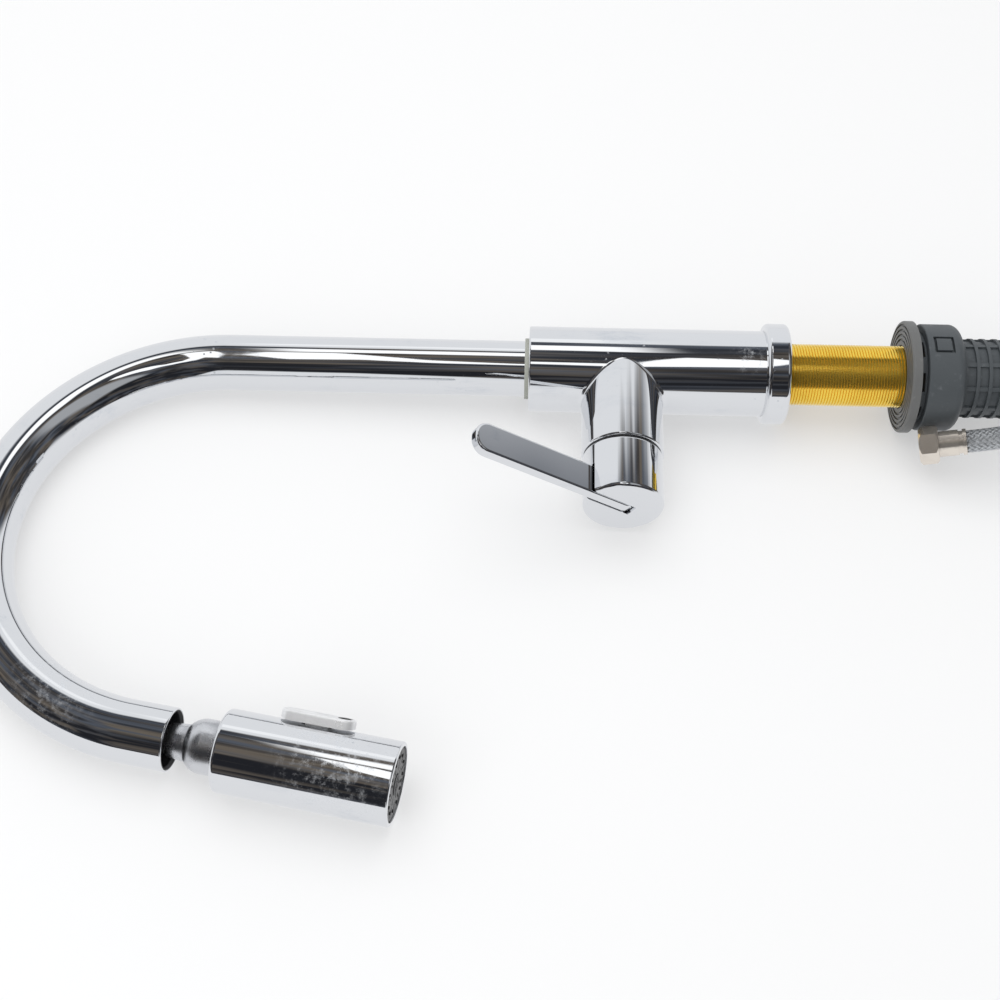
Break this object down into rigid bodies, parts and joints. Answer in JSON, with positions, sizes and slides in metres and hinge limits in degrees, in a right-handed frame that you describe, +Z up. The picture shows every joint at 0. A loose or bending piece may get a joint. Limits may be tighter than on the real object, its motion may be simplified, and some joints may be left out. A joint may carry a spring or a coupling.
{
  "type": "pull-down kitchen faucet",
  "caption": "Single-lever kitchen faucet with a tall arched swivel spout, pull-down spray head on a hose, under-deck mounting nut and braided supply hose.",
  "frame": {"origin": "centre of the flange's underside, where the faucet sits on the deck", "axes": "+Z up along the shank and riser; the spout and the handle's branch point to -Y; the lever leans to +X"},
  "size_m": [0.0805, 0.3159, 0.754],
  "materials": {
    "chrome_plate": "mirror",
    "satin_metal": "satin",
    "brass": "turned",
    "black_plastic": "matte",
    "dark_plastic": "matte",
    "grey_plastic": "matte",
    "bush_plastic": "matte",
    "rubber": "matte",
    "ceramic": "polished",
    "hose_braid": "braided",
    "hose_sleeve": "woven"
  },
  "bodies": {
    "base": {"base_flange": "chrome_plate", "flange_gasket": "rubber", "valve_body": "chrome_plate", "threaded_shank": "brass", "cold_inlet_stub": "brass", "hot_inlet_stub": "brass", "hose_guide": "black_plastic", "thrust_washer": "bush_plastic", "swivel_bush": "bush_plastic", "lock_screw": "satin_metal", "cartridge_body": "black_plastic", "cartridge_seals": "rubber", "fixed_disc": "ceramic", "cartridge_nut": "brass", "glide_ring": "black_plastic", "supply_hose": "hose_braid", "hose_collar": "rubber", "hose_crimp": "satin_metal", "hose_seal": "rubber", "hose_clip": "black_plastic"},
    "spout": {"spout_tube": "chrome_plate", "spout_foot": "brass", "spout_seals": "rubber", "outlet_liner": "black_plastic", "spray_hose": "hose_sleeve"},
    "hose_end": {"hose_ferrule": "satin_metal", "swivel_nut": "brass"},
    "spray_head": {"head_shell": "chrome_plate", "head_neck": "satin_metal", "dock_cone": "black_plastic", "head_core": "black_plastic", "check_valve": "grey_plastic", "spray_face": "grey_plastic", "nozzle_inserts": "rubber", "aerator_insert": "black_plastic", "toggle_pin": "satin_metal"},
    "toggle": {"spray_toggle": "chrome_plate", "toggle_pad": "rubber"},
    "handle": {"handle_hub": "chrome_plate", "hub_screw": "satin_metal", "lever_pin": "satin_metal"},
    "lever": {"lever_blade": "chrome_plate"},
    "valve_disc": {"disc_carrier": "ceramic"},
    "mounting_nut": {"nut_washer": "dark_plastic", "nut_collar": "dark_plastic", "nut_sleeve": "dark_plastic"},
    "hose_end_nut": {"hose_nut": "satin_metal"}
  },
  "joints": [
    {"name": "spout_swivel", "type": "hinge", "parent": "base", "child": "spout", "pos_m": [0, 0, 0.138], "axis": [0, 0, 1], "continuous": true},
    {"name": "handle_turn", "type": "hinge", "parent": "base", "child": "handle", "pos_m": [0, -0.0583, 0.088], "axis": [0, 1, 0], "range_deg": [-40, 60]},
    {"name": "lever_lift", "type": "hinge", "parent": "handle", "child": "lever", "pos_m": [0, -0.0798, 0.088], "axis": [0.8387, 0, -0.5446], "range_deg": [0, 25]},
    {"name": "disc_slide", "type": "slide", "parent": "handle", "child": "valve_disc", "axis": [0.5446, 0, 0.8387], "range_m": [0, 0.0076]},
    {"name": "head_pull", "type": "slide", "parent": "spout", "child": "hose_end", "axis": [0, -0.1736, -0.9848], "range_m": [-0.0237, 0.45], "deforming": ["spray_hose"]},
    {"name": "head_swivel", "type": "hinge", "parent": "hose_end", "child": "spray_head", "pos_m": [0, -0.22614, 0.27379], "axis": [0, 0.1736, 0.9848], "continuous": true},
    {"name": "toggle_rock", "type": "hinge", "parent": "spray_head", "child": "toggle", "pos_m": [0.00675, -0.22192, 0.23039], "axis": [-0.866, 0.4924, -0.0868], "range_deg": [-3, 3]},
    {"name": "nut_travel", "type": "slide", "parent": "base", "child": "mounting_nut", "axis": [0, 0, 1], "range_m": [0, 0.0465]},
    {"name": "hose_nut_spin", "type": "hinge", "parent": "base", "child": "hose_end_nut", "pos_m": [-0.00853, -0.03866, -0.07461], "axis": [-0.2953, 0.0596, 0.9536], "continuous": true}
  ],
  "couplings": [
    {"joint": "disc_slide", "follows": "lever_lift", "m_per_rad": 0.0172}
  ]
}
